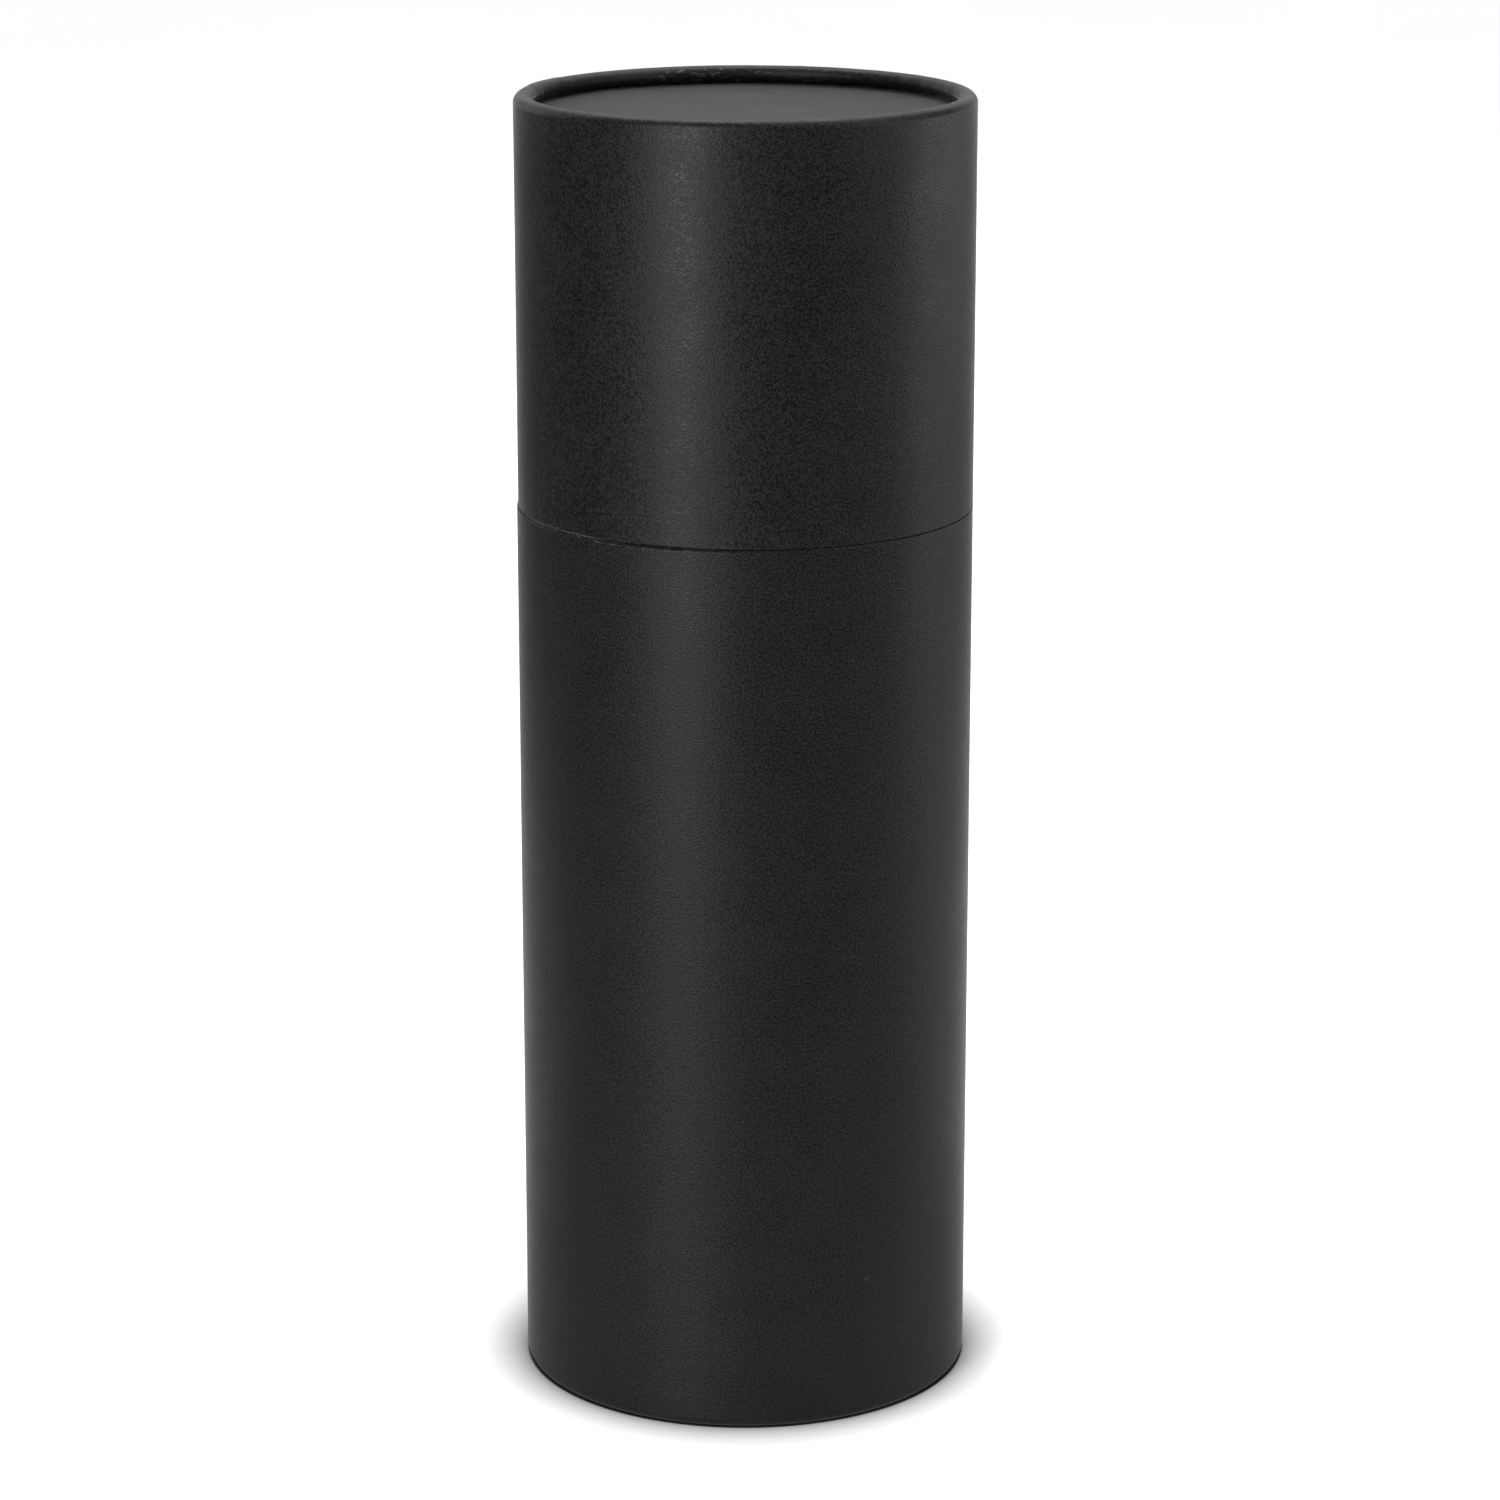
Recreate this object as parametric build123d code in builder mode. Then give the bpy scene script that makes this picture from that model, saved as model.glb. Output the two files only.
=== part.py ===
"""Rolled-edge paperboard candle tube, +Z up, millimetres, origin at the centre of its foot.

A long base and a shorter lift-off lid are cut from the same wrapped paper tube.
Each has its closed end rolled inwards over a disc, and a thinner tube glued inside
the base stands up out of it as the neck that guides the lid.
"""

import os
from math import hypot

from build123d import *

# Outside sizes
outer_diameter = 80.0
total_height = 230.0
lid_height = 72.0  # from the seam to the crest of the rolled rim
neck_height = 30.0  # how far the neck stands above the seam
lid_clearance = 0.15  # radial gap between the neck and the lid

# Papers and boards
cover_paper = 0.20
tube_board = 0.80
lining_paper = 0.15
neck_board = 1.20
neck_paper = 0.15
disc_board = 1.50
disc_paper = 0.15

# Rolled edge
roll_radius = 1.65  # outside radius of the roll's round section
roll_sweep = 270.0  # how far the wall is rolled round, degrees
disc_press = 0.10  # how far the roll is flattened where it bears on the disc
foot_press = 0.05  # how far the roll under the base is flattened by standing

# Worked out from the sizes above
outer_radius = outer_diameter / 2
seam_z = total_height - lid_height
neck_top_z = seam_z + neck_height
roll_r = outer_radius - roll_radius
lid_roll_z = total_height - roll_radius
base_roll_z = roll_radius - foot_press

board_roll = roll_radius - cover_paper
lining_roll = board_roll - tube_board
lid_bore_roll = lining_roll - lining_paper
lid_bore = roll_r + lid_bore_roll

neck_outer = lid_bore - lid_clearance
neck_board_outer = neck_outer - neck_paper
neck_board_inner = neck_board_outer - neck_board
neck_inner = neck_board_inner - lining_paper
base_bore_roll = neck_outer - roll_r  # the base is lined out to the neck tube

lid_disc_z = lid_roll_z - roll_radius + disc_press  # outside face of the lid's disc
base_disc_z = base_roll_z + roll_radius - disc_press  # outside face of the base's disc
floor_z = base_disc_z + disc_paper + disc_board + disc_paper  # inside face of the base's disc

UP = 1
DOWN = -1

os.makedirs("parts", exist_ok=True)


def rolled_ply(skin, core, roll_z, way):
    """One ply of a tube: straight from the seam to roll_z, then rolled inwards.

    skin and core are the ply's outer and inner radius about the roll's centre,
    and way is UP for a roll on top of the lid or DOWN for one under the base.
    """
    crest = roll_z + way * skin
    bearing = roll_z - way * (roll_radius - disc_press)
    with BuildPart() as ply:
        with BuildSketch(Plane.XZ):
            with BuildLine():
                Line((roll_r + core, seam_z), (roll_r + skin, seam_z))
                Line((roll_r + skin, seam_z), (roll_r + skin, roll_z))
                CenterArc((roll_r, roll_z), skin, 0, way * roll_sweep)
                Line((roll_r, roll_z - way * skin), (roll_r, roll_z - way * core))
                CenterArc((roll_r, roll_z), core, 0, way * roll_sweep)
                Line((roll_r + core, roll_z), (roll_r + core, seam_z))
            make_face()
            if skin > roll_radius - disc_press:
                with Locations((roll_r - skin / 2, bearing - way * skin / 2)):
                    Rectangle(skin, skin, mode=Mode.SUBTRACT)
            if crest < 0:
                with Locations((roll_r, -skin / 2)):
                    Rectangle(2 * skin, skin, mode=Mode.SUBTRACT)
        revolve(axis=Axis.Z)
    return ply.part


def tube_ply(outer, inner, bottom_z, top_z):
    """A plain tube between two heights."""
    with BuildPart() as ply:
        with BuildSketch(Plane.XY.offset(bottom_z)):
            Circle(outer)
            Circle(inner, mode=Mode.SUBTRACT)
        extrude(amount=top_z - bottom_z)
    return ply.part


def disc(radius, bottom_z, thickness):
    """A flat round disc standing on bottom_z."""
    with BuildPart() as plate:
        with BuildSketch(Plane.XY.offset(bottom_z)):
            Circle(radius)
        extrude(amount=thickness)
    return plate.part


def save(part, name):
    """Label a finished piece and write it as its own STEP file."""
    part.label = name
    export_step(part, f"parts/{name}.step")


def lid_pieces():
    """The lid: three rolled plies and the laminated disc held under the roll."""
    save(rolled_ply(roll_radius, board_roll, lid_roll_z, UP), "lid_cover_paper")
    save(rolled_ply(board_roll, lining_roll, lid_roll_z, UP), "lid_tube")
    save(rolled_ply(lining_roll, lid_bore_roll, lid_roll_z, UP), "lid_lining_paper")
    paper_z = lid_disc_z - disc_paper
    board_z = paper_z - disc_board
    save(disc(lid_bore, paper_z, disc_paper), "lid_top_paper")
    save(disc(lid_bore, board_z, disc_board), "lid_top_disc")
    save(disc(lid_bore, board_z - disc_paper, disc_paper), "lid_top_lining")


def base_pieces():
    """The base: three rolled plies and the laminated disc held over the roll."""
    save(rolled_ply(roll_radius, board_roll, base_roll_z, DOWN), "base_cover_paper")
    save(rolled_ply(board_roll, lining_roll, base_roll_z, DOWN), "base_tube")
    save(rolled_ply(lining_roll, base_bore_roll, base_roll_z, DOWN), "base_lining_paper")
    board_z = base_disc_z + disc_paper
    save(disc(neck_outer, base_disc_z, disc_paper), "base_bottom_paper")
    save(disc(neck_outer, board_z, disc_board), "base_bottom_disc")
    save(disc(neck_outer, board_z + disc_board, disc_paper), "base_floor_lining")


def neck_pieces():
    """The inner tube: it stands on the base's disc and rises past the seam."""
    save(tube_ply(neck_outer, neck_board_outer, floor_z, neck_top_z), "neck_cover_paper")
    save(tube_ply(neck_board_outer, neck_board_inner, floor_z, neck_top_z), "neck_tube")
    save(tube_ply(neck_board_inner, neck_inner, floor_z, neck_top_z), "neck_lining_paper")


lid_pieces()
base_pieces()
neck_pieces()

corner = neck_inner / hypot(1, 1)
print(f"seam {seam_z:.2f}, neck top {neck_top_z:.2f}, floor {floor_z:.2f}")
print(f"lid bore {lid_bore:.2f}, neck {neck_outer:.2f} to {neck_inner:.2f}")
print(f"lid ceiling {lid_disc_z - 2 * disc_paper - disc_board:.2f}, half square inside {corner:.2f}")
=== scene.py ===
import math

import bpy
import numpy as np
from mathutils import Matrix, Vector


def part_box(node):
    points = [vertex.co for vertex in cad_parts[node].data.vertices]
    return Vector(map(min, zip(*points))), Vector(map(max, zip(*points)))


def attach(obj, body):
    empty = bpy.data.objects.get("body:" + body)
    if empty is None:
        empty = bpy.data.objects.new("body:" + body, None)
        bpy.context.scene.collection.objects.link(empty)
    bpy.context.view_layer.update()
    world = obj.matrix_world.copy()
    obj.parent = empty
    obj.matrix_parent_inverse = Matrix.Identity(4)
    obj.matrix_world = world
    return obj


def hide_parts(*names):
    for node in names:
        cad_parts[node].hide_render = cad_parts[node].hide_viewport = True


# Looks of a rolled-edge paperboard candle tube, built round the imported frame, in metres.

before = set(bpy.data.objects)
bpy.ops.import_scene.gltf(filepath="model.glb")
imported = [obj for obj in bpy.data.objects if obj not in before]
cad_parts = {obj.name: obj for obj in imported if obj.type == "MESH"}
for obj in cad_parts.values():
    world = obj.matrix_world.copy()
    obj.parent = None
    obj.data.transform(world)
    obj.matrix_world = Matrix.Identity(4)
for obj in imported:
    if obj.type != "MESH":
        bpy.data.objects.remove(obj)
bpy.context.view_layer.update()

MM = 0.001
UP = 1
DOWN = -1

# ---------------------------------------------------------------- sizes from the frame
OUTER_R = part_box("base_cover_paper")[1].x
SEAM_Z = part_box("base_cover_paper")[1].z
TOP_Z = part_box("lid_cover_paper")[1].z
BOARD_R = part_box("base_tube")[1].x
LINING_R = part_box("base_lining_paper")[1].x
LID_BORE_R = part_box("lid_top_paper")[1].x
NECK_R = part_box("neck_cover_paper")[1].x
NECK_BOARD_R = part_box("neck_tube")[1].x
NECK_LINING_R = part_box("neck_lining_paper")[1].x
NECK_LOW_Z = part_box("neck_tube")[0].z
NECK_TOP_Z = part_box("neck_tube")[1].z
DISC_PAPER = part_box("lid_top_paper")[1].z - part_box("lid_top_paper")[0].z

COVER_T = OUTER_R - BOARD_R
BOARD_T = BOARD_R - LINING_R
ROLL = 1.65 * MM  # outside radius of the rolled edge, as in the CAD
ROLL_R = OUTER_R - ROLL  # radius of the circle that the roll is centred on
LID_ROLL_Z = TOP_Z - ROLL
BASE_ROLL_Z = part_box("base_tube")[0].z + BOARD_R - ROLL_R
FOOT_Z = 0.0

# ---------------------------------------------------------------- character of the papers
STEPS = 960  # points round a skin
SHARP = math.radians(38)  # corners past this stay crisp
LIP = 0.50 * MM  # radius that the knife leaves on a cut edge
LIP_TURN = math.radians(60)  # how far the cut edge curls in
LAP_STEP = 0.12 * MM  # how far the cover's overlap stands proud
LAP_WIDTH = 12.0 * MM
PLEAT_DEPTH = 0.03 * MM
CREASE_DEPTH = 0.10 * MM  # slower unevenness of the paper inside the roll
DEEPEST_CREASE = 0.17 * MM
ROUGH_CUT = 0.03 * MM  # unevenness of the knife cuts
WALL_WAVE = 0.022 * MM
GRAIN_DEPTH = 0.022 * MM  # height of the black paper's bump
FLARE_LOW, FLARE_HIGH = 0.35 * MM, 1.2 * MM  # the lid's flare fades out between these heights
WALL_START = [0.60 * MM, 0.75 * MM, 0.95 * MM]  # heights of the wall's first points above the cut
LID_SLACK = 0.20 * MM  # how much narrower the lid is than the base, all of it on the -X side
ROLL_END = math.radians(268)

THETA = np.arange(STEPS) * 2 * math.pi / STEPS


# ---------------------------------------------------------------- small maths
def smooth(low, high, x):
    """0 below low, 1 above high and smooth between them."""
    t = np.clip((x - low) / (high - low), 0, 1)
    return t * t * (3 - 2 * t)


def ring_noise(lowest, highest, seed):
    """A smooth random wave round the tube, about -1 to 1, made of whole-number harmonics."""
    draw = np.random.default_rng(seed)
    wave = np.zeros(STEPS)
    for k in range(lowest, highest + 1):
        wave += draw.normal() * np.cos(k * THETA + draw.uniform(0, 2 * math.pi))
    return wave / (np.abs(wave).max() + 1e-12)


def angle_from(start):
    """Angle past start at each step, from 0 to a full turn."""
    return (THETA - start) % (2 * math.pi)


def near_angle(degrees, width):
    """1 at this angle round the tube, fading over so many degrees to each side."""
    away = (np.degrees(THETA) - degrees + 180) % 360 - 180
    return np.exp(-((away / width) ** 2))


# ---------------------------------------------------------------- meshes
def mesh_object(name, points, faces):
    """A smooth-shaded mesh object with crisp corners."""
    mesh = bpy.data.meshes.new(name)
    mesh.from_pydata(points, [], faces)
    mesh.validate()
    mesh.shade_smooth()
    mesh.set_sharp_from_angle(angle=SHARP)
    piece = bpy.data.objects.new(name, mesh)
    bpy.context.scene.collection.objects.link(piece)
    return piece


def lathe(name, radius, height):
    """A closed ring: radius and height have a row for each profile point and a column for each step."""
    rows, steps = radius.shape
    turn = np.arange(steps) * 2 * math.pi / steps
    points = np.stack([radius * np.cos(turn), radius * np.sin(turn), height], axis=-1)
    row, step = np.meshgrid(np.arange(rows), np.arange(steps), indexing="ij")
    next_row, next_step = (row + 1) % rows, (step + 1) % steps
    row, next_row = row * steps, next_row * steps
    quads = [row + step, row + next_step, next_row + next_step, next_row + step]
    faces = np.stack(quads, axis=-1).reshape(-1, 4)
    return mesh_object(name, points.reshape(-1, 3).tolist(), faces.tolist())


def lathe_disc(name, radius, height):
    """A closed disc: a single point on the axis closes each side."""
    rows, steps = radius.shape
    turn = np.arange(steps) * 2 * math.pi / steps
    points = np.stack([radius * np.cos(turn), radius * np.sin(turn), height], axis=-1)
    row, step = np.meshgrid(np.arange(rows - 1), np.arange(steps), indexing="ij")
    next_step = (step + 1) % steps
    row, next_row = row * steps, (row + 1) * steps
    quads = [row + step, row + next_step, next_row + next_step, next_row + step]
    faces = np.stack(quads, axis=-1).reshape(-1, 4).tolist()
    first, last = rows * steps, rows * steps + 1
    poles = [[0, 0, height[0].mean()], [0, 0, height[-1].mean()]]
    for i in range(steps):
        j = (i + 1) % steps
        faces.append([first, j, i])
        faces.append([last, (rows - 1) * steps + i, (rows - 1) * steps + j])
    return mesh_object(name, points.reshape(-1, 3).tolist() + poles, faces)


def settle(piece, body, slot, material, *nodes):
    """Gives a piece its finish and its body, and hides the CAD nodes that it stands for."""
    piece.data.materials.append(material)
    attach(piece, body)
    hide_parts(*nodes)
    return piece


# ---------------------------------------------------------------- the wrapped, rolled tube
class RolledTube:
    """The shape shared by the plies of the lid or of the base.

    Heights are counted from the seam towards the rolled end, so both halves use the same rules.
    """

    def __init__(self, way, roll_z, lap_angle, lip_scale, gap, flare, slack, seed):
        self.way = way
        self.length = abs(roll_z - SEAM_Z)
        self.lip = LIP * lip_scale
        self.gap = gap
        self.flare = flare
        self.inset = slack * (1 - np.cos(THETA)) / 2
        self.wave_seed = seed
        past_lap = angle_from(lap_angle) * OUTER_R
        far_side = smooth(LAP_WIDTH - 1.0 * MM, LAP_WIDTH + 1.5 * MM, past_lap)
        self.lap = LAP_STEP * smooth(0, 0.25 * MM, past_lap) * (1 - far_side)
        creases = CREASE_DEPTH * np.clip(0.5 + ring_noise(7, 60, seed + 6), 0, 1)
        self.pleats = np.minimum(self.make_pleats(seed) + creases, DEEPEST_CREASE)
        self.rough_cut = (1 + ring_noise(60, 300, seed + 5)) * ROUGH_CUT

    def make_pleats(self, seed):
        """Depth of the fine creases where the paper is gathered to a smaller circle."""
        draw = np.random.default_rng(seed)
        depth = np.zeros(STEPS)
        along = THETA * ROLL_R
        whole = 2 * math.pi * ROLL_R
        place = 0.0
        while place < whole:
            place += draw.uniform(0.9, 2.6) * MM
            width = draw.uniform(0.22, 0.55) * MM
            deep = PLEAT_DEPTH * draw.uniform(0.15, 1.0) ** 1.5 * (2.0 if draw.random() < 0.06 else 1.0)
            away = (along - place + whole / 2) % whole - whole / 2
            depth += deep * np.exp(-((away / width) ** 2))
        return depth

    def wall_wave(self, height):
        """How far the wall is pressed in by the unevenness of the board, always inwards."""
        draw = np.random.default_rng(self.wave_seed + 1)
        wave = np.zeros((len(height), STEPS))
        for _ in range(7):
            k = int(draw.integers(2, 13))
            length = draw.uniform(25, 90) * MM
            round_phase, up_phase = draw.uniform(0, 2 * math.pi, 2)
            around = np.cos(k * THETA + round_phase)[None, :]
            wave += around * np.cos(2 * math.pi * height / length + up_phase)[:, None]
        return -WALL_WAVE * (0.5 + wave / 12)

    def surface(self, depth, lip_points, wall_points, roll_points):
        """Radius and height of the tube at a depth below its outside, from the cut edge to the roll's tail."""
        fade = 1 - smooth(COVER_T, COVER_T + BOARD_T, np.array(depth))
        outer = OUTER_R - depth - self.inset * fade
        turn = np.linspace(LIP_TURN, 0, lip_points)[:, None]
        lip_in = self.lip * (1 - np.cos(turn)) * fade
        lip_up = self.lip * (math.sin(LIP_TURN) - np.sin(turn))
        lip_r = outer - lip_in + (self.lap * np.cos(turn) + self.flare) * fade
        lip_h = lip_up + (self.gap + self.rough_cut * fade) * np.ones_like(turn)

        rise = np.linspace(0, 1, wall_points + 1) ** 1.1  # points lie closer together near the seam
        wall_h = np.concatenate([WALL_START, FLARE_HIGH + (self.length - FLARE_HIGH) * rise])
        flare = self.flare * (1 - smooth(FLARE_LOW, FLARE_HIGH, wall_h))[:, None]
        wall_r = outer + self.wall_wave(wall_h) * smooth(0, 8 * MM, self.length - wall_h)[:, None]
        wall_r = wall_r + (self.lap + flare) * fade
        wall_h = wall_h[:, None] * np.ones(STEPS)

        phi = np.linspace(0, ROLL_END, roll_points + 1)[1:][:, None]
        pleated = smooth(math.radians(50), math.radians(150), phi)
        out = ROLL - depth + self.lap * fade * (1 - smooth(math.radians(60), math.radians(200), phi))
        if depth == 0:
            out = out - self.pleats * pleated
        roll_r = ROLL_R - self.inset * fade + out * np.cos(phi)
        roll_h = self.press(self.length + out * np.sin(phi))

        radius = np.concatenate([lip_r, wall_r, roll_r])
        height = np.concatenate([lip_h, wall_h, roll_h])
        return radius, SEAM_Z + self.way * height

    def press(self, height):
        """The crest is held inside the CAD height, which flattens the foot that the tube stands on."""
        crest = TOP_Z - SEAM_Z if self.way == UP else SEAM_Z - FOOT_Z
        return np.minimum(height, crest)

    def ply(self, name, outer_depth, inner_depth, fine):
        """One closed ply between two depths."""
        lip, wall, roll = (7, 10, 40) if fine else (4, 6, 18)
        out_r, out_z = self.surface(outer_depth, lip, wall, roll)
        in_r, in_z = self.surface(inner_depth, 3, 6, 18)
        radius = np.concatenate([out_r, in_r[::-1]])
        height = np.concatenate([out_z, in_z[::-1]])
        if self.way == UP:
            radius, height = radius[::-1], height[::-1]
        return lathe(name, radius, height)


# ---------------------------------------------------------------- node helpers
class Nodes:
    """A thin wrapper that adds nodes to one material and links or sets their inputs."""

    def __init__(self, name):
        self.material = bpy.data.materials.new(name)
        self.material.use_nodes = True
        self.tree = self.material.node_tree
        self.shader = self.tree.nodes["Principled BSDF"]

    def add(self, kind, inputs=None, **settings):
        node = self.tree.nodes.new(kind)
        for key, value in settings.items():
            setattr(node, key, value)
        for key, value in (inputs or {}).items():
            self.feed(node.inputs[key], value)
        return node

    def feed(self, socket, value):
        if isinstance(value, bpy.types.NodeSocket):
            self.tree.links.new(value, socket)
        else:
            socket.default_value = value

    def math(self, operation, a, b=0.0, clamp=False):
        return self.add("ShaderNodeMath", {0: a, 1: b}, operation=operation, use_clamp=clamp).outputs[0]

    def step(self, value, low, high):
        """0 below low, 1 above high, smooth between."""
        settings = {"Value": value, "From Min": low, "From Max": high}
        return self.add("ShaderNodeMapRange", settings, interpolation_type="SMOOTHSTEP").outputs["Result"]

    def fade(self, value, low, high):
        """1 below low, 0 above high, smooth between."""
        return self.math("SUBTRACT", 1.0, self.step(value, low, high))

    def parts(self, coords):
        """The X, Y and Z of coordinates."""
        return self.add("ShaderNodeSeparateXYZ", {0: coords}).outputs

    def span(self, value, low, high):
        """Stretches a 0 to 1 value to run from low to high."""
        return self.add("ShaderNodeMapRange", {"Value": value, "To Min": low, "To Max": high}).outputs["Result"]

    def mix(self, factor, a, b):
        node = self.add("ShaderNodeMix", data_type="RGBA")
        self.feed(node.inputs["Factor"], factor)
        self.feed(node.inputs[6], a)
        self.feed(node.inputs[7], b)
        return node.outputs[2]

    def noise(self, coords, scale, detail=2.0, roughness=0.5):
        settings = {"Vector": coords, "Scale": scale, "Detail": detail, "Roughness": roughness}
        return self.add("ShaderNodeTexNoise", settings).outputs["Fac"]

    def place(self):
        """Object coordinates, in metres."""
        return self.add("ShaderNodeTexCoord").outputs["Object"]

    def unrolled(self, start_angle):
        """Coordinates on the flattened sheet: along it, up it and outwards, with its ends at start_angle."""
        turn = (0, 0, math.pi - start_angle)
        xyz = self.parts(self.add("ShaderNodeMapping", {"Vector": self.place(), "Rotation": turn}).outputs[0])
        angle = self.math("ARCTAN2", xyz["Y"], xyz["X"])
        along = self.math("MULTIPLY", angle, OUTER_R)
        squares = self.math("ADD", self.math("POWER", xyz["X"], 2.0), self.math("POWER", xyz["Y"], 2.0))
        radius = self.math("SQRT", squares)
        return self.add("ShaderNodeCombineXYZ", {"X": along, "Y": xyz["Z"], "Z": radius}).outputs[0]

    def total(self, *parts):
        """The sum of values, each times its weight."""
        weighted = [self.math("MULTIPLY", value, weight) for value, weight in parts]
        result = weighted[0]
        for value in weighted[1:]:
            result = self.math("ADD", result, value)
        return result

    def stretched(self, coords, scale):
        return self.add("ShaderNodeMapping", {"Vector": coords, "Scale": scale}).outputs[0]

    def bump(self, height, strength, distance):
        settings = {"Height": height, "Strength": strength, "Distance": distance}
        return self.add("ShaderNodeBump", settings).outputs["Normal"]


def grey(value, warmth=0.0):
    """A near-neutral colour."""
    return (value * (1 + warmth), value, value * (1 - warmth), 1.0)


# ---------------------------------------------------------------- papers and boards
def paper_fibres(nodes, coords):
    """Fine grain, longer fibres and slow mottling of a paper sheet, each from 0 to 1."""
    grain = nodes.step(nodes.noise(coords, 2500.0, 2.0, 0.6), 0.36, 0.64)
    long_fibre = nodes.noise(nodes.stretched(coords, (0.30, 1.0, 1.0)), 3000.0, 2.0, 0.55)
    cross_fibre = nodes.noise(nodes.stretched(coords, (1.0, 0.38, 1.0)), 2800.0, 2.0, 0.55)
    fibres = nodes.math("MAXIMUM", nodes.step(long_fibre, 0.5, 0.76), nodes.step(cross_fibre, 0.52, 0.78))
    slow, quick = nodes.noise(coords, 95.0, 3.0, 0.6), nodes.noise(coords, 420.0, 3.0, 0.6)
    mottle = nodes.total((slow, 0.7), (quick, 0.3))
    return grain, fibres, nodes.step(mottle, 0.36, 0.64)


def black_paper(name, sheet_start, dark, light, roughness, flat=False, cut_edge=False):
    """Matt black uncoated paper: fine fibres, faint mottling and a few pale specks.

    Paper with a cut edge also has the seam's frayed edge with a painted highlight along it, and its creases
    inside the roll with pale rubbed marks and painted glints.
    """
    nodes = Nodes(name)
    coords = nodes.place() if flat else nodes.unrolled(sheet_start)
    grain, fibres, mottle = paper_fibres(nodes, coords)
    tone = nodes.total((grain, 0.76), (fibres, 0.28), (mottle, 0.10))
    colour = nodes.mix(nodes.math("MINIMUM", tone, 1.0), grey(dark), grey(light))
    speck = nodes.step(nodes.noise(coords, 520.0, 1.0, 0.4), 0.80, 0.86)
    colour = nodes.mix(nodes.math("MULTIPLY", speck, 0.35), colour, grey(0.07))
    if cut_edge:
        # Pale cut edge at the seam: frayed fibres, plus a painted highlight where the edge catches light.
        fray_and_glint = nodes.math("MULTIPLY", fray_and_edge_glints(nodes, coords, sheet_start), 0.8)
        colour = nodes.mix(fray_and_glint, colour, grey(0.085))
        # Pale marks inside the roll at its back: rubbed paper, plus painted glints on the creases.
        rubbed_and_glinting = nodes.math("MULTIPLY", scuffs_and_glints(nodes, coords, sheet_start), 0.6)
        colour = nodes.mix(rubbed_and_glinting, colour, grey(0.12))
    nodes.feed(nodes.shader.inputs["Base Color"], colour)
    rough = nodes.span(nodes.total((grain, 0.7), (mottle, 0.3)), roughness - 0.10, roughness + 0.10)
    nodes.feed(nodes.shader.inputs["Roughness"], rough)
    height = nodes.total((grain, 0.7), (fibres, 0.5))
    if cut_edge:
        height = nodes.math("ADD", height, crumple(nodes, coords))
    nodes.feed(nodes.shader.inputs["Normal"], nodes.bump(height, 1.0, GRAIN_DEPTH))
    nodes.shader.inputs["IOR"].default_value = 1.5
    nodes.shader.inputs["Sheen Weight"].default_value = 0.20
    nodes.shader.inputs["Sheen Roughness"].default_value = 0.25
    return nodes.material


def distance_along(nodes, coords, sheet_start, angle):
    """Distance along the sheet from this angle round the tube."""
    turn = (angle - sheet_start) % (2 * math.pi) - math.pi
    return nodes.math("ABSOLUTE", nodes.math("SUBTRACT", nodes.parts(coords)["X"], turn * OUTER_R))


def fray_and_edge_glints(nodes, coords, sheet_start):
    """Pale fibres and a painted highlight along the knife cut at the seam.

    The lid's edge is pale at its front left from wear and a painted highlight where it catches light, and
    broken fibres with painted glints stand out to both sides of there.
    """
    above = nodes.math("SUBTRACT", nodes.parts(coords)["Y"], SEAM_Z)
    aside = distance_along(nodes, coords, sheet_start, WORN_AND_LIT_AT)
    # A pale band just above the lid's cut: wear, plus a painted highlight of the edge catching light.
    worn_and_lit = nodes.math("MULTIPLY", nodes.fade(aside, 8 * MM, 14 * MM), nodes.step(above, 0.0, 0.05 * MM))
    worn_and_lit = nodes.math("MULTIPLY", worn_and_lit, nodes.fade(above, 0.36 * MM, 0.58 * MM))
    streaks = nodes.noise(nodes.stretched(coords, (0.22, 1.0, 1.0)), 1500.0, 2.0, 0.6)
    # Pale streaks along the cut: broken fibres, plus painted glints.
    broken_fibres_and_glints = nodes.math("MULTIPLY", nodes.step(streaks, 0.52, 0.66), nodes.fade(aside, 24 * MM, 38 * MM))
    near = nodes.fade(nodes.math("ABSOLUTE", above), 0.16 * MM, 0.42 * MM)
    return nodes.math("MAXIMUM", worn_and_lit, nodes.math("MULTIPLY", near, broken_fibres_and_glints))


def scuffs_and_glints(nodes, coords, sheet_start):
    """Small pale marks on the creased paper inside the roll, at its back: rubbed paper, plus painted glints on
    the creases.
    """
    inside = nodes.fade(nodes.parts(coords)["Z"], ROLL_R - 1.3 * MM, ROLL_R - 0.7 * MM)
    back = nodes.fade(distance_along(nodes, coords, sheet_start, RUBBED_AND_GLINTING_AT), 10 * MM, 26 * MM)
    marks = nodes.step(nodes.noise(nodes.stretched(coords, (0.45, 1.0, 1.0)), 1400.0, 2.0, 0.5), 0.58, 0.68)
    return nodes.math("MULTIPLY", nodes.math("MULTIPLY", inside, back), marks)


def crumple(nodes, coords):
    """Height of the uneven creasing where the paper is crushed on the inner side of the roll."""
    inside = nodes.fade(nodes.parts(coords)["Z"], ROLL_R - 1.1 * MM, ROLL_R - 0.1 * MM)
    wide, narrow = nodes.noise(coords, 420.0, 3.0, 0.6), nodes.noise(coords, 1300.0, 2.0, 0.5)
    return nodes.math("MULTIPLY", inside, nodes.total((wide, 7.0), (narrow, 2.5)))


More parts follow.
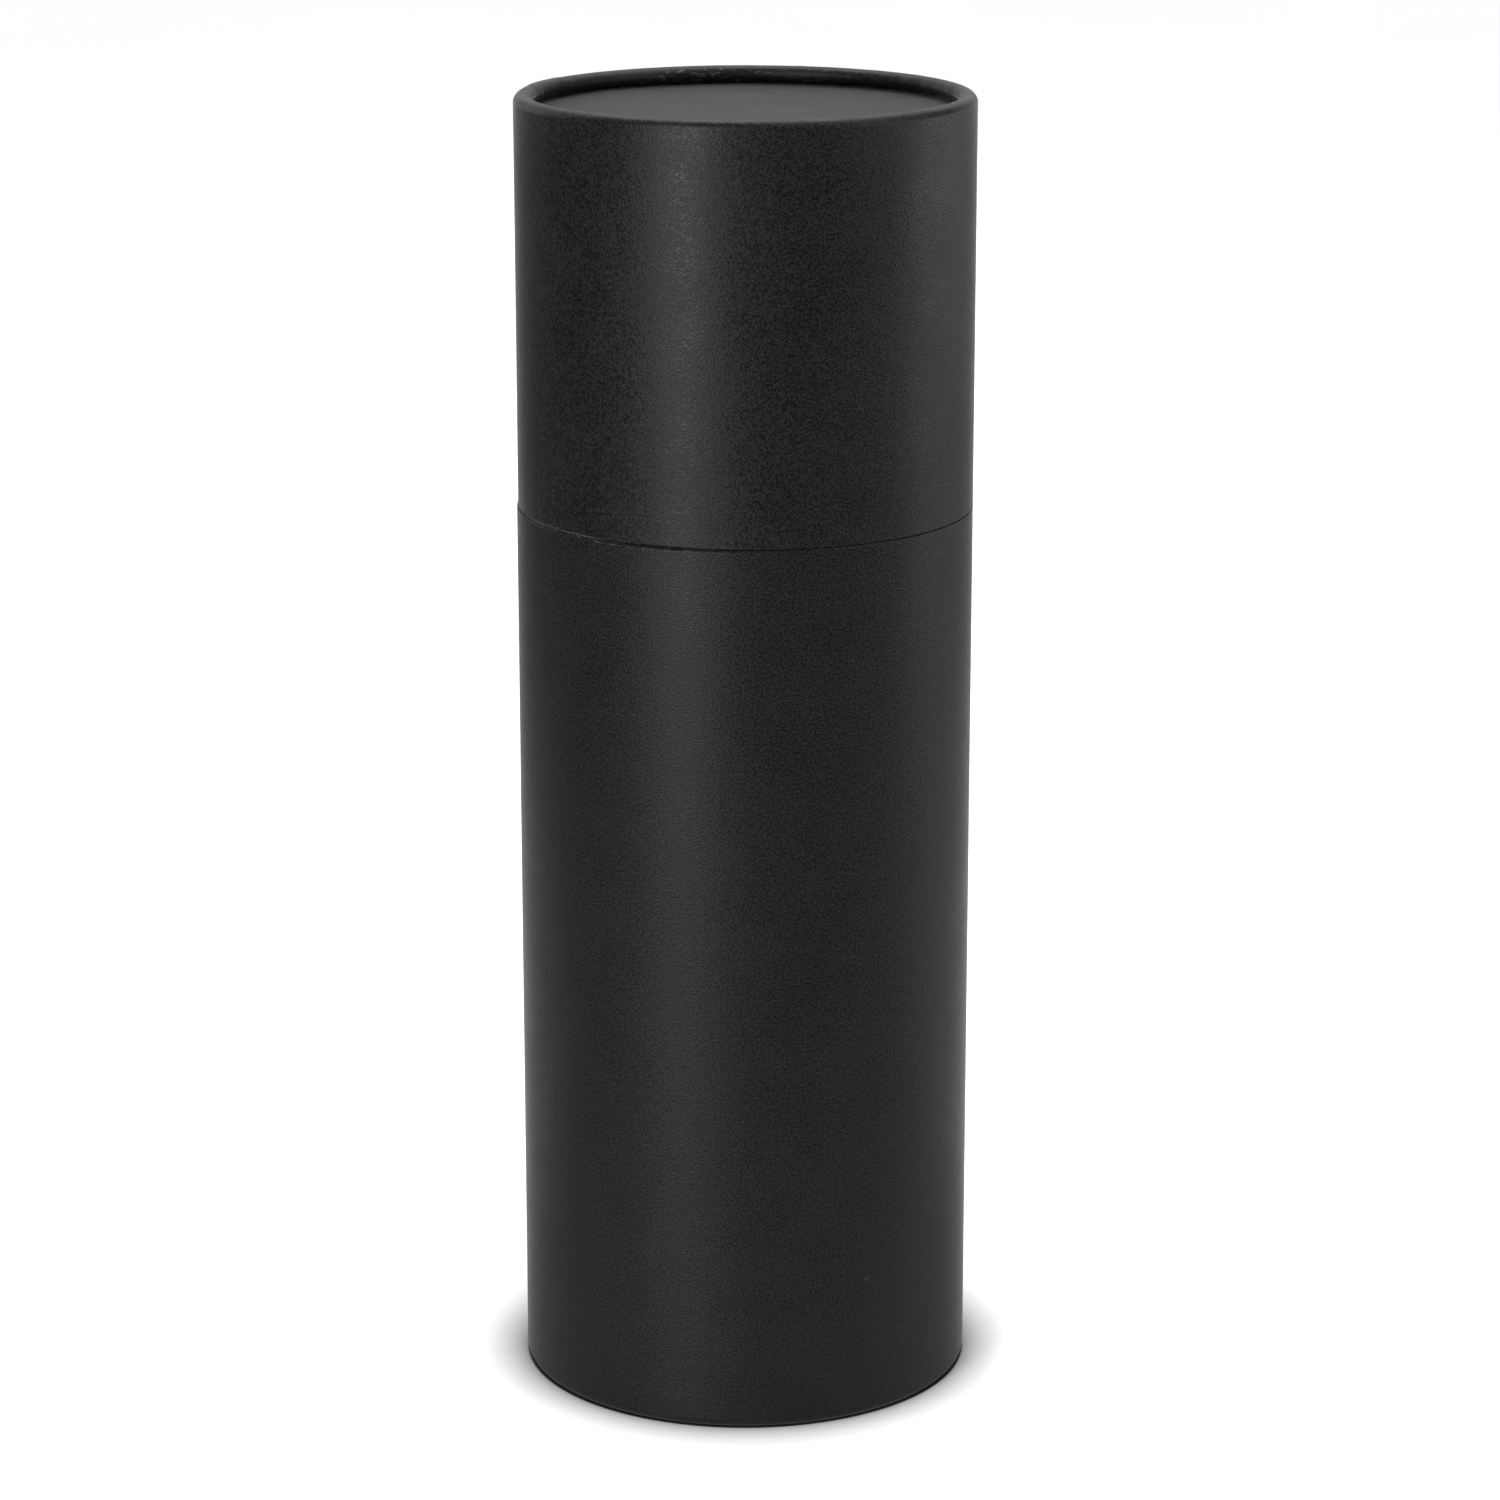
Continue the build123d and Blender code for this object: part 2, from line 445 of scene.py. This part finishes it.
def raw_board(name):
    """Cut grey board: layered plies round the edge, torn fibres and a rough surface."""
    nodes = Nodes(name)
    coords = nodes.unrolled(0.0)
    across = nodes.stretched(coords, (0.06, 0.5, 1.0))
    plies = nodes.noise(across, 5200.0, 2.0, 0.6)
    grain, fibres, _ = paper_fibres(nodes, coords)
    tone = nodes.math("ADD", nodes.math("MULTIPLY", plies, 0.6), nodes.math("MULTIPLY", grain, 0.4), clamp=True)
    colour = nodes.mix(tone, grey(0.035, 0.02), grey(0.16, 0.03))
    nodes.feed(nodes.shader.inputs["Base Color"], colour)
    nodes.feed(nodes.shader.inputs["Roughness"], nodes.span(grain, 0.82, 0.98))
    height = nodes.total((plies, 0.8), (fibres, 0.5))
    nodes.feed(nodes.shader.inputs["Normal"], nodes.bump(height, 0.7, 0.08 * MM))
    return nodes.material


def kraft_lining(name, pitch=None):
    """Natural kraft paper, flat or wound in a spiral that climbs by pitch in each turn.

    Wound paper shows the spiral's butt joint, and has painted shade at the seam: it turns dark grey where the
    gap between lid and base shades it.
    """
    nodes = Nodes(name)
    coords = nodes.place() if pitch is None else nodes.unrolled(0.0)
    grain, fibres, mottle = paper_fibres(nodes, coords)
    faint_grain, faint_mottle = nodes.math("MULTIPLY", grain, 0.45), nodes.math("MULTIPLY", mottle, 0.5)
    tone = nodes.math("ADD", faint_grain, faint_mottle, clamp=True)
    colour = nodes.mix(tone, (0.25, 0.155, 0.085, 1), (0.47, 0.325, 0.20, 1))
    colour = nodes.mix(nodes.math("MULTIPLY", fibres, 0.35), colour, (0.60, 0.47, 0.32, 1))
    height = nodes.total((grain, 0.7), (fibres, 0.5))
    if pitch is not None:
        xyz = nodes.parts(coords)
        turns = nodes.math("DIVIDE", xyz["X"], 2 * math.pi * OUTER_R)
        climb = nodes.math("SUBTRACT", nodes.math("DIVIDE", xyz["Y"], pitch), turns)
        away = nodes.math("ABSOLUTE", nodes.math("SUBTRACT", nodes.math("FRACT", climb), 0.5))
        joint = nodes.fade(away, 0.0018, 0.0045)
        colour = nodes.mix(nodes.math("MULTIPLY", joint, 0.75), colour, (0.10, 0.06, 0.035, 1))
        # Painted shade: the lining turns dark grey within a fraction of a millimetre of the seam, where the gap
        # shades it.
        above = nodes.math("ABSOLUTE", nodes.math("SUBTRACT", xyz["Y"], SEAM_Z))
        colour = nodes.mix(nodes.step(above, 0.30 * MM, 0.70 * MM), grey(0.03), colour)
        height = nodes.math("SUBTRACT", height, nodes.math("MULTIPLY", joint, 2.0))
    nodes.feed(nodes.shader.inputs["Base Color"], colour)
    nodes.feed(nodes.shader.inputs["Roughness"], nodes.span(grain, 0.62, 0.85))
    nodes.feed(nodes.shader.inputs["Normal"], nodes.bump(height, 0.5, 0.05 * MM))
    return nodes.material


# ---------------------------------------------------------------- pieces
LID_LAP = math.radians(148)  # where each cover's overlap starts
BASE_LAP = math.radians(118)
WORN_AND_LIT_AT = math.radians(216)  # middle of the pale stretch of the lid's edge, worn and with a painted highlight
RUBBED_AND_GLINTING_AT = math.radians(92)  # middle of the pale marks inside the roll: rubbed creases with painted glints
SPIRAL_PITCH = 85 * MM  # climb of the lining's winding in one turn
COVER_TONES = (0.002, 0.0165, 0.44)  # darkest, lightest and roughness
DISC_TONES = (0.0, 0.016, 0.59)

COVER_LID = black_paper("black_paper_lid", LID_LAP, *COVER_TONES, cut_edge=True)
COVER_BASE = black_paper("black_paper_base", BASE_LAP, *COVER_TONES, cut_edge=True)
COVER_DISC = black_paper("black_paper_disc", 0.0, *DISC_TONES, flat=True)
COVER_NECK = black_paper("black_paper_neck", BASE_LAP, *COVER_TONES)
BOARD = raw_board("grey_board")
KRAFT = kraft_lining("kraft_lining", SPIRAL_PITCH)
KRAFT_FLAT = kraft_lining("kraft_disc")


def settle_plies(tube, body, bore_r):
    """The cover, board and lining of the lid or the base, out of the tube they share."""
    cover = tube.ply(f"{body}_cover_skin", 0.0, COVER_T, fine=True)
    settle(cover, body, "black_cover_paper", COVER_LID if body == "lid" else COVER_BASE, f"{body}_cover_paper")
    board = tube.ply(f"{body}_board_skin", COVER_T, COVER_T + BOARD_T, fine=False)
    settle(board, body, "tube_board", BOARD, f"{body}_tube")
    lining = tube.ply(f"{body}_lining_skin", COVER_T + BOARD_T, OUTER_R - bore_r, fine=False)
    settle(lining, body, "lining_paper", KRAFT, f"{body}_lining_paper")


def make_lid():
    """The lid's plies. Its cut edge is rounder, further open and flared out in places."""
    lip_scale = 0.34 + 0.44 * near_angle(252, 34) + 0.08 * ring_noise(2, 9, 21)
    gap = 0.07 + 0.14 * near_angle(258, 62) + 0.08 * near_angle(212, 16)
    gap = (gap + 0.02 * (1 + ring_noise(2, 12, 22))) * MM
    flare = LID_SLACK * (0.55 * near_angle(212, 20) + 0.25 * near_angle(160, 40))
    tube = RolledTube(UP, LID_ROLL_Z, LID_LAP, lip_scale, gap, flare, LID_SLACK, seed=31)
    settle_plies(tube, "lid", LID_BORE_R)


def make_base():
    """The base's plies."""
    lip_scale = 0.26 + 0.52 * near_angle(248, 22) + 0.08 * ring_noise(2, 9, 41)
    tube = RolledTube(DOWN, BASE_ROLL_Z, BASE_LAP, lip_scale, gap=0.0, flare=0.0, slack=0.0, seed=51)
    settle_plies(tube, "base", NECK_R)


def make_neck():
    """The neck tube's three plies, with the knife's burr on their top edge."""
    bore_r = NECK_LINING_R - DISC_PAPER
    plies = [
        ("neck_cover_skin", NECK_R, NECK_BOARD_R, "black_neck_paper", COVER_NECK, "neck_cover_paper"),
        ("neck_board_skin", NECK_BOARD_R, NECK_LINING_R, "neck_board", BOARD, "neck_tube"),
        ("neck_lining_skin", NECK_LINING_R, bore_r, "lining_paper", KRAFT, "neck_lining_paper"),
    ]
    heights = np.linspace(0, 1, 9)
    for number, (name, outer, inner, slot, material, node) in enumerate(plies):
        burr = 0.03 * MM * (ring_noise(20, 200, 60 + number) - 1)
        ease = min(0.10 * MM, (outer - inner) * 0.4)
        top = NECK_TOP_Z + burr
        wall_z = NECK_LOW_Z + (NECK_TOP_Z - 0.4 * MM - NECK_LOW_Z) * heights
        wall_z = [np.full(STEPS, z) for z in wall_z]
        out_r = [outer] * (len(heights) + 1) + [outer - ease]
        in_r = [inner + ease * 0.3] + [inner] * (len(heights) + 1)
        radius = np.array(out_r + in_r)[::-1, None] * np.ones(STEPS)
        height = np.array(wall_z + [top - ease, top, top, top - ease] + wall_z[::-1])[::-1]
        settle(lathe(name, radius, height), "base", slot, material, node)


def paper_disc(name, radius, face_z, back_z, body, slot, material, node, seed):
    """A thin paper disc whose open face has dried a little uneven."""
    draw = np.random.default_rng(seed)
    rings = np.sqrt(np.linspace(0.0005, 1, 26)) * radius
    steps = 360
    turn = np.arange(steps) * 2 * math.pi / steps
    x, y = rings[:, None] * np.cos(turn), rings[:, None] * np.sin(turn)
    uneven = np.zeros_like(x)
    for _ in range(9):
        length = draw.uniform(12, 50) * MM
        heading, phase = draw.uniform(0, 2 * math.pi, 2)
        uneven += np.cos(2 * math.pi * (x * math.cos(heading) + y * math.sin(heading)) / length + phase)
    thickness = face_z - back_z
    sink = np.clip(0.25 + uneven / 24, 0, 0.6)
    face = face_z - thickness * sink
    back = np.full_like(x, back_z)
    flat = rings[:, None] * np.ones(steps)
    radius_rows = np.concatenate([flat, flat[::-1]])
    height_rows = np.concatenate([face, back[::-1]])
    if thickness < 0:
        radius_rows, height_rows = radius_rows[::-1], height_rows[::-1]
    disc = lathe_disc(name, radius_rows, height_rows)
    return settle(disc, body, slot, material, node)


def make_discs():
    """The paper faces of both end discs."""
    faces = [
        ("lid_face_skin", "lid_top_paper", "lid", "black_disc_paper", COVER_DISC, UP),
        ("lid_ceiling_skin", "lid_top_lining", "lid", "lining_paper", KRAFT_FLAT, DOWN),
        ("base_face_skin", "base_bottom_paper", "base", "black_disc_paper", COVER_DISC, DOWN),
        ("base_floor_skin", "base_floor_lining", "base", "lining_paper", KRAFT_FLAT, UP),
    ]
    for seed, (name, node, body, slot, material, way) in enumerate(faces):
        low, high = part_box(node)
        face_z, back_z = (high.z, low.z) if way == UP else (low.z, high.z)
        paper_disc(name, high.x, face_z, back_z, body, slot, material, node, 70 + seed)


def finish_hidden_boards():
    """The board discs between their papers keep their CAD shape and take the raw board."""
    for node in ("lid_top_disc", "base_bottom_disc"):
        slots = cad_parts[node].data.materials
        slots.clear()
        slots.append(BOARD)


make_lid()
make_base()
make_neck()
make_discs()
finish_hidden_boards()


# ---------------------------------------------------------------- studio
def floor_paper():
    """Plain pale studio floor with a painted contact shadow: its colour darkens softly where something stands
    on it.
    """
    nodes = Nodes("studio_floor")
    tone = nodes.noise(nodes.place(), 6.0, 2.0, 0.5)
    # Painted contact shadow: ambient occlusion within 15 mm darkens the floor's colour.
    near = nodes.add("ShaderNodeAmbientOcclusion", {"Distance": 15 * MM}, samples=12).outputs["AO"]
    open_sky = nodes.math("MULTIPLY", nodes.math("SUBTRACT", near, 0.47), 2.0, clamp=True)
    lit = nodes.mix(tone, grey(0.86), grey(0.88))
    shade = nodes.mix(nodes.math("POWER", open_sky, 0.6), grey(0.06), lit)
    nodes.feed(nodes.shader.inputs["Base Color"], shade)
    nodes.shader.inputs["Roughness"].default_value = 0.9
    nodes.shader.inputs["Specular IOR Level"].default_value = 0.2
    return nodes.material


def make_floor():
    """A wide plain floor. Reflections don't see it, because it would wash the black paper out."""
    half = 6.0
    rows = np.linspace(-1, 1, 25)
    points = [(x * half, y * half, 0.0) for y in rows for x in rows]
    count = len(rows)
    faces = [
        (j * count + i, j * count + i + 1, (j + 1) * count + i + 1, (j + 1) * count + i)
        for j in range(count - 1)
        for i in range(count - 1)
    ]
    floor = mesh_object("floor", points, faces)
    floor.data.materials.append(floor_paper())
    floor.visible_glossy = False


def make_bounce_card(name, x, y, depth, radius, strength):
    """A dim glowing disc under the floor that only reflections see, in place of the floor close to the tube."""
    turn = np.linspace(0, 2 * math.pi, 65)[:-1]
    points = [(x + radius * math.cos(t), y + radius * math.sin(t), -depth) for t in turn]
    card = mesh_object(name, points, [list(range(len(points)))])
    nodes = Nodes(name)
    nodes.shader.inputs["Base Color"].default_value = grey(0.0)
    nodes.shader.inputs["Emission Color"].default_value = grey(1.0)
    nodes.shader.inputs["Emission Strength"].default_value = strength
    nodes.material.cycles.emission_sampling = "NONE"
    card.data.materials.append(nodes.material)
    card.visible_camera = False
    card.visible_diffuse = False
    card.visible_shadow = False


def soft_box(name, around, distance, height, width, tall, power, aim):
    """A rectangular light, not seen itself, so many degrees round from the front towards +X."""
    turn = math.radians(around)
    place = Vector((distance * math.sin(turn), -distance * math.cos(turn), height))
    data = bpy.data.lights.new(name, "AREA")
    data.shape = "RECTANGLE"
    data.size, data.size_y = width, tall
    data.energy = power
    light = bpy.data.objects.new(name, data)
    light.location = place
    light.rotation_euler = (Vector((0, 0, aim)) - place).to_track_quat("-Z", "Y").to_euler()
    light.visible_camera = False
    bpy.context.scene.collection.objects.link(light)


def sun_light(name, tilt, strength, softness):
    data = bpy.data.lights.new(name, "SUN")
    data.energy = strength
    data.angle = math.radians(softness)
    light = bpy.data.objects.new(name, data)
    light.rotation_euler = (math.radians(tilt), 0, 0)
    light.visible_glossy = False
    bpy.context.scene.collection.objects.link(light)


def make_world(strength):
    world = bpy.data.worlds.new("studio")
    world.use_nodes = True
    background = world.node_tree.nodes["Background"]
    background.inputs["Color"].default_value = (1, 1, 1, 1)
    background.inputs["Strength"].default_value = strength
    bpy.context.scene.world = world


def make_camera():
    """A long lens in front of the tube, looking a little down on it."""
    data = bpy.data.cameras.new("camera")
    data.lens = 111.2
    data.sensor_width = 36.0
    camera = bpy.data.objects.new("camera", data)
    camera.location = (0.88 * MM, -0.797, TOP_Z + 0.0977)
    camera.rotation_euler = (math.radians(90 - 15.08), 0, 0)
    bpy.context.scene.collection.objects.link(camera)
    bpy.context.scene.camera = camera


# name, x, y, depth below the floor, radius, strength: where they overlap, the highest one is seen
BOUNCE_CARDS = [
    ("bounce_card", 0.0, 0.0, 2.0 * MM, 0.5, 0.175),
    ("bounce_left", -0.19, 0.16, 1.0 * MM, 0.15, 0.38),
    ("bounce_right", 0.22, 0.21, 1.0 * MM, 0.20, 0.41),
    ("bounce_front", -0.11, -0.12, 1.0 * MM, 0.09, 0.32),
    ("bounce_foot", 0.0, -0.05, 0.5 * MM, 0.15, 0.25),
]

# name, degrees round, distance, height, width, tall, power, height aimed at
SOFT_BOXES = [
    ("strip_high", -31, 1.2, 0.65, 0.16, 0.60, 3.2, 0.15),
    ("strip_low", -31, 1.2, 0.14, 0.16, 0.24, 2.5, 0.15),
    ("right_high", 66, 1.2, 0.55, 0.45, 0.70, 1.2, 0.15),
    ("right_back_high", 98, 1.2, 0.55, 0.30, 0.70, 0.20, 0.15),
    ("right_back_low", 98, 1.2, 0.13, 0.30, 0.22, 1.0, 0.15),
    ("right_edge", 122, 1.2, 0.13, 0.40, 0.22, 0.50, 0.15),
    ("right_rim", 145, 1.3, 0.45, 0.30, 0.70, 0.35, 0.15),
    ("left_edge", -130, 1.3, 0.55, 0.50, 0.70, 1.2, 0.15),
    ("back", 180, 1.6, 0.50, 1.40, 0.80, 2.1, 0.15),
    ("back_high", 180, 0.8, 1.0, 1.7, 0.5, 3.3, 0.23),
    ("top_back", 180, 0.33, 1.15, 0.9, 0.4, 3.2, 0.23),
    ("top_right", 80, 0.5, 0.95, 0.5, 0.4, 0.7, 0.23),
]

make_floor()
for card in BOUNCE_CARDS:
    make_bounce_card(*card)
make_world(strength=0.05)
sun_light("overhead", tilt=4, strength=3.55, softness=10)
for box in SOFT_BOXES:
    soft_box(*box)
make_camera()
bpy.context.scene.view_settings.view_transform = "Standard"
